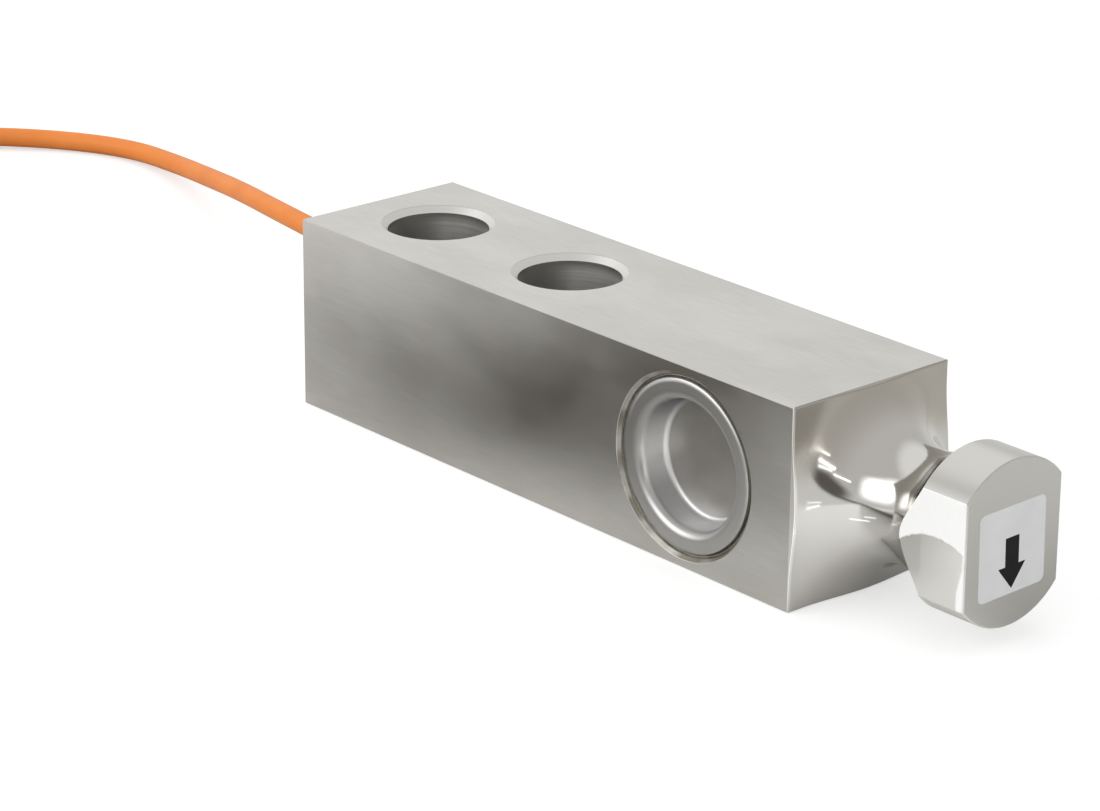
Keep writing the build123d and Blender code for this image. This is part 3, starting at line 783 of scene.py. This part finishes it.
room_shades = ((0.71, 0.70, 0.68), (0.62, 0.606, 0.58))
room_fade = (0.0, 0.35)
back_wall = (0.92, 0.915, 0.90)
back_heading = heading(158, 38)
back_fade = (0.79, 0.95)
dark_wall = (0.13, 0.115, 0.105)
dark_heading = heading(-40, 4)
dark_flattening = (1.0, 1.0, 3.2)
dark_fade = (0.75, 0.30)
room_light = 0.85

world = bpy.data.worlds.new("studio")
bpy.context.scene.world = world
world.use_nodes = True
tree = world.node_tree
tree.nodes.clear()
way = wire(tree, "ShaderNodeTexCoord").outputs["Generated"]
towards_back = vector_step(tree, "DOT_PRODUCT", way, back_heading)["Value"]
back_share = between(tree, towards_back, *back_fade, smooth=True)
from_dark = vector_step(tree, "SUBTRACT", way, dark_heading)[0]
from_dark = vector_step(tree, "MULTIPLY", from_dark, dark_flattening)[0]
off_dark = vector_step(tree, "LENGTH", from_dark)["Value"]
dark_share = between(tree, off_dark, *dark_fade, smooth=True)
room = tint(tree, between(tree, split(tree, way)["Z"], *room_fade, smooth=True), *room_shades)
room = lay_over(tree, tint, room, ((back_share, back_wall), (dark_share, dark_wall)))
soft_light = wire(tree, "ShaderNodeBackground", {"Color": plain_white, "Strength": room_light}).outputs[0]
backdrop = wire(tree, "ShaderNodeBackground", {"Color": plain_white, "Strength": 1.0}).outputs[0]
mirrored_room = wire(tree, "ShaderNodeBackground", {"Color": room, "Strength": 1.0}).outputs[0]
ray = wire(tree, "ShaderNodeLightPath").outputs
unseen_room = mix_shaders(tree, ray["Is Glossy Ray"], soft_light, mirrored_room)
seen = reckon(tree, "MAXIMUM", ray["Is Camera Ray"], ray["Is Transmission Ray"])
wire(tree, "ShaderNodeOutputWorld", {"Surface": mix_shaders(tree, seen, unseen_room, backdrop)})

shine_middle = Vector((0.147, -0.012, 0.033))
box_distance = 1.2
box_heading = heading(-119, 25)
box_way = (1.0, -0.45, 0.0)
box_size = (1.95, 1.05)
box_brightness = 2.3
box_edge = 0.38
overhead_place = (-0.1, 0.2, 1.4)
overhead_size = (1.0, 1.0)
overhead_brightness = 0.6
tube_distance = 1.0
tube_brightness = 6.0

# Each tube's two ends, as azimuth and elevation from the groove in degrees, and its thickness.
tubes = (
    ("tube_right_1", (-17, 21), (7, 3), 0.012),
    ("tube_right_2", (-36, 21), (-9, 9), 0.026),
    ("tube_right_3", (-34, 17), (-13, 7), 0.012),
    ("tube_right_4", (-66, 22), (-38, 16), 0.012),
)
strip_height = 0.0015
strip_width = 0.0010
strip_brightness = 2.5

# Each strip's middle on the floor, its direction and its length.
table_strips = (
    ("strip_1", (0.222, -0.057), (0, 1, 0), 0.048),
    ("strip_2", (0.200, -0.048), (0, 1, 0), 0.032),
    ("strip_3", (0.137, -0.058), (1, 0, 0), 0.020),
    ("strip_4", (0.120, -0.076), (1, 0, 0), 0.020),
)


def soft_lamp(name, middle, width_way, size, brightness, edge=0.0):
    """A flat lamp that faces the polished groove, with its width along a given direction. The brightness is
    that of its face, where 1 is white, and its light may fade over a share of its size at the edges."""
    width, depth = size
    lamp_data = bpy.data.lights.new(name, "AREA")
    lamp_data.shape = "RECTANGLE"
    lamp_data.size = width
    lamp_data.size_y = depth
    lamp_data.energy = brightness * math.pi * width * depth
    if edge:
        lamp_data.use_nodes = True
        tree = lamp_data.node_tree
        on_face = split(tree, wire(tree, "ShaderNodeNewGeometry").outputs["Parametric"])
        fades = []
        for axis in ("X", "Y"):
            fades.append(between(tree, on_face[axis], 0.0, edge, smooth=True))
            fades.append(between(tree, on_face[axis], 1.0, 1.0 - edge, smooth=True))
        feed(tree, tree.nodes["Emission"], {"Strength": overlap(tree, *fades)})
    lamp = bpy.data.objects.new(name, lamp_data)
    bpy.context.scene.collection.objects.link(lamp)
    back = (Vector(middle) - shine_middle).normalized()
    side = (Vector(width_way) - back * back.dot(Vector(width_way))).normalized()
    turn = Matrix((side, back.cross(side), back)).transposed().to_4x4()
    lamp.matrix_world = Matrix.Translation(middle) @ turn
    return lamp


box_middle = shine_middle + box_heading * box_distance
soft_lamp("soft_box_left", box_middle, box_way, box_size, box_brightness, box_edge)
for name, start, end, thickness in tubes:
    first = shine_middle + heading(*start) * tube_distance
    last = shine_middle + heading(*end) * tube_distance
    reach = last - first
    soft_lamp(name, (first + last) / 2, reach, (reach.length, thickness), tube_brightness)
overhead = soft_lamp("lamp_above", overhead_place, (1, 0, 0), overhead_size, overhead_brightness)
overhead.visible_glossy = False
for name, strip_middle, way, length in table_strips:
    strip = soft_lamp(name, (*strip_middle, strip_height), way, (length, strip_width), strip_brightness)
    strip.visible_camera = False
    strip.visible_diffuse = False

bpy.context.scene.view_settings.view_transform = "Standard"

for piece in nodes.values():
    if not piece.hide_render:
        assert piece.data.materials, piece.name
